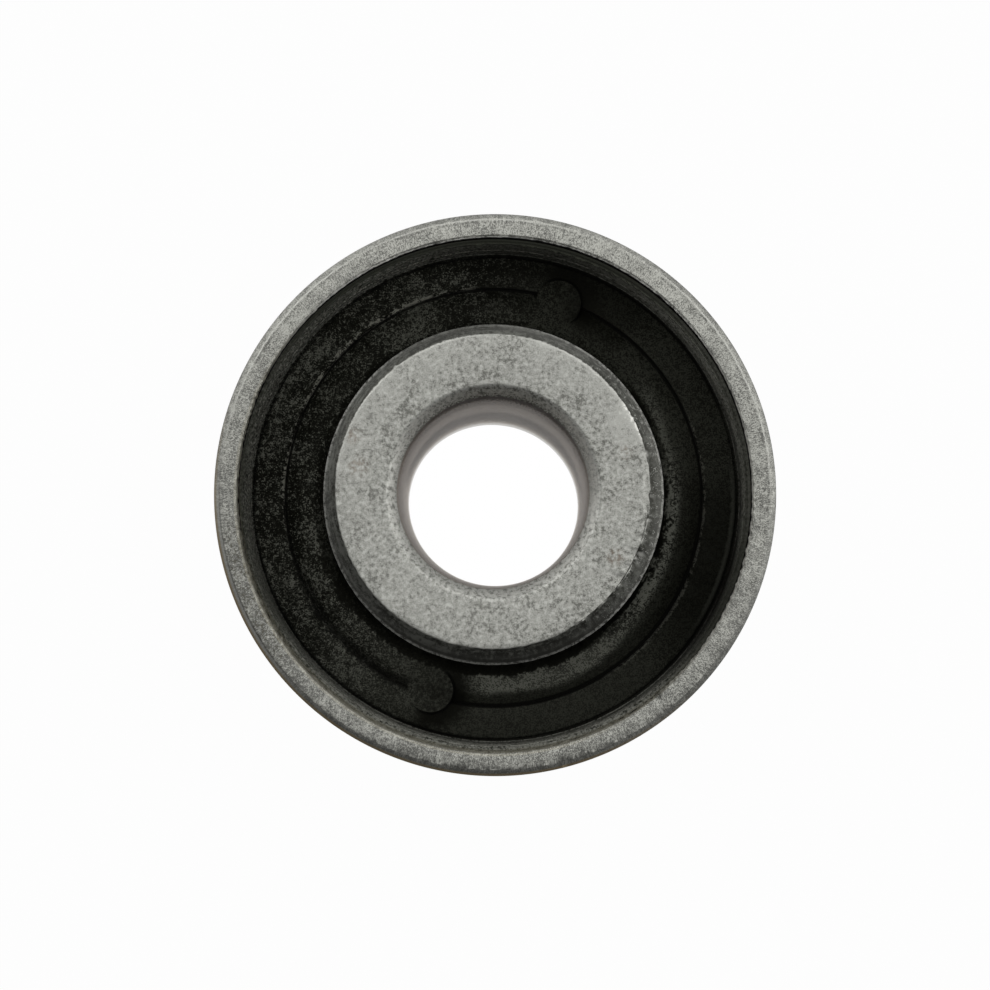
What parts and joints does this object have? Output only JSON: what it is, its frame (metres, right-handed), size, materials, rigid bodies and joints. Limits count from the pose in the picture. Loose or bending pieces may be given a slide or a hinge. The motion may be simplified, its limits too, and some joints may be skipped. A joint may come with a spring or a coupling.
{
  "type": "bonded rubber and metal bush",
  "caption": "Rubber ring bonded between a thin outer steel sleeve and a thick inner steel sleeve with a bolt bore, for a pivot or mount that flexes.",
  "frame": {"origin": "centre of the inner sleeve's lower end face, on the bush's axis, where it stands", "axes": "+Z along the bush's axis, out of the end with the gate pads; +X and +Y across it"},
  "size_m": [0.0366, 0.0366, 0.044],
  "materials": {
    "inner_steel": "machined mild steel, dull, with fine dark specks and turning marks on the end faces",
    "outer_steel": "dull grey drawn steel tube, lightly grained, with a sawn and chamfered rim",
    "black_rubber": "matt black moulded rubber with a dusty bloom and a fine flash line"
  },
  "bodies": {
    "root": {"inner_sleeve": "inner_steel", "outer_sleeve": "outer_steel", "rubber": "black_rubber"}
  },
  "joints": []
}
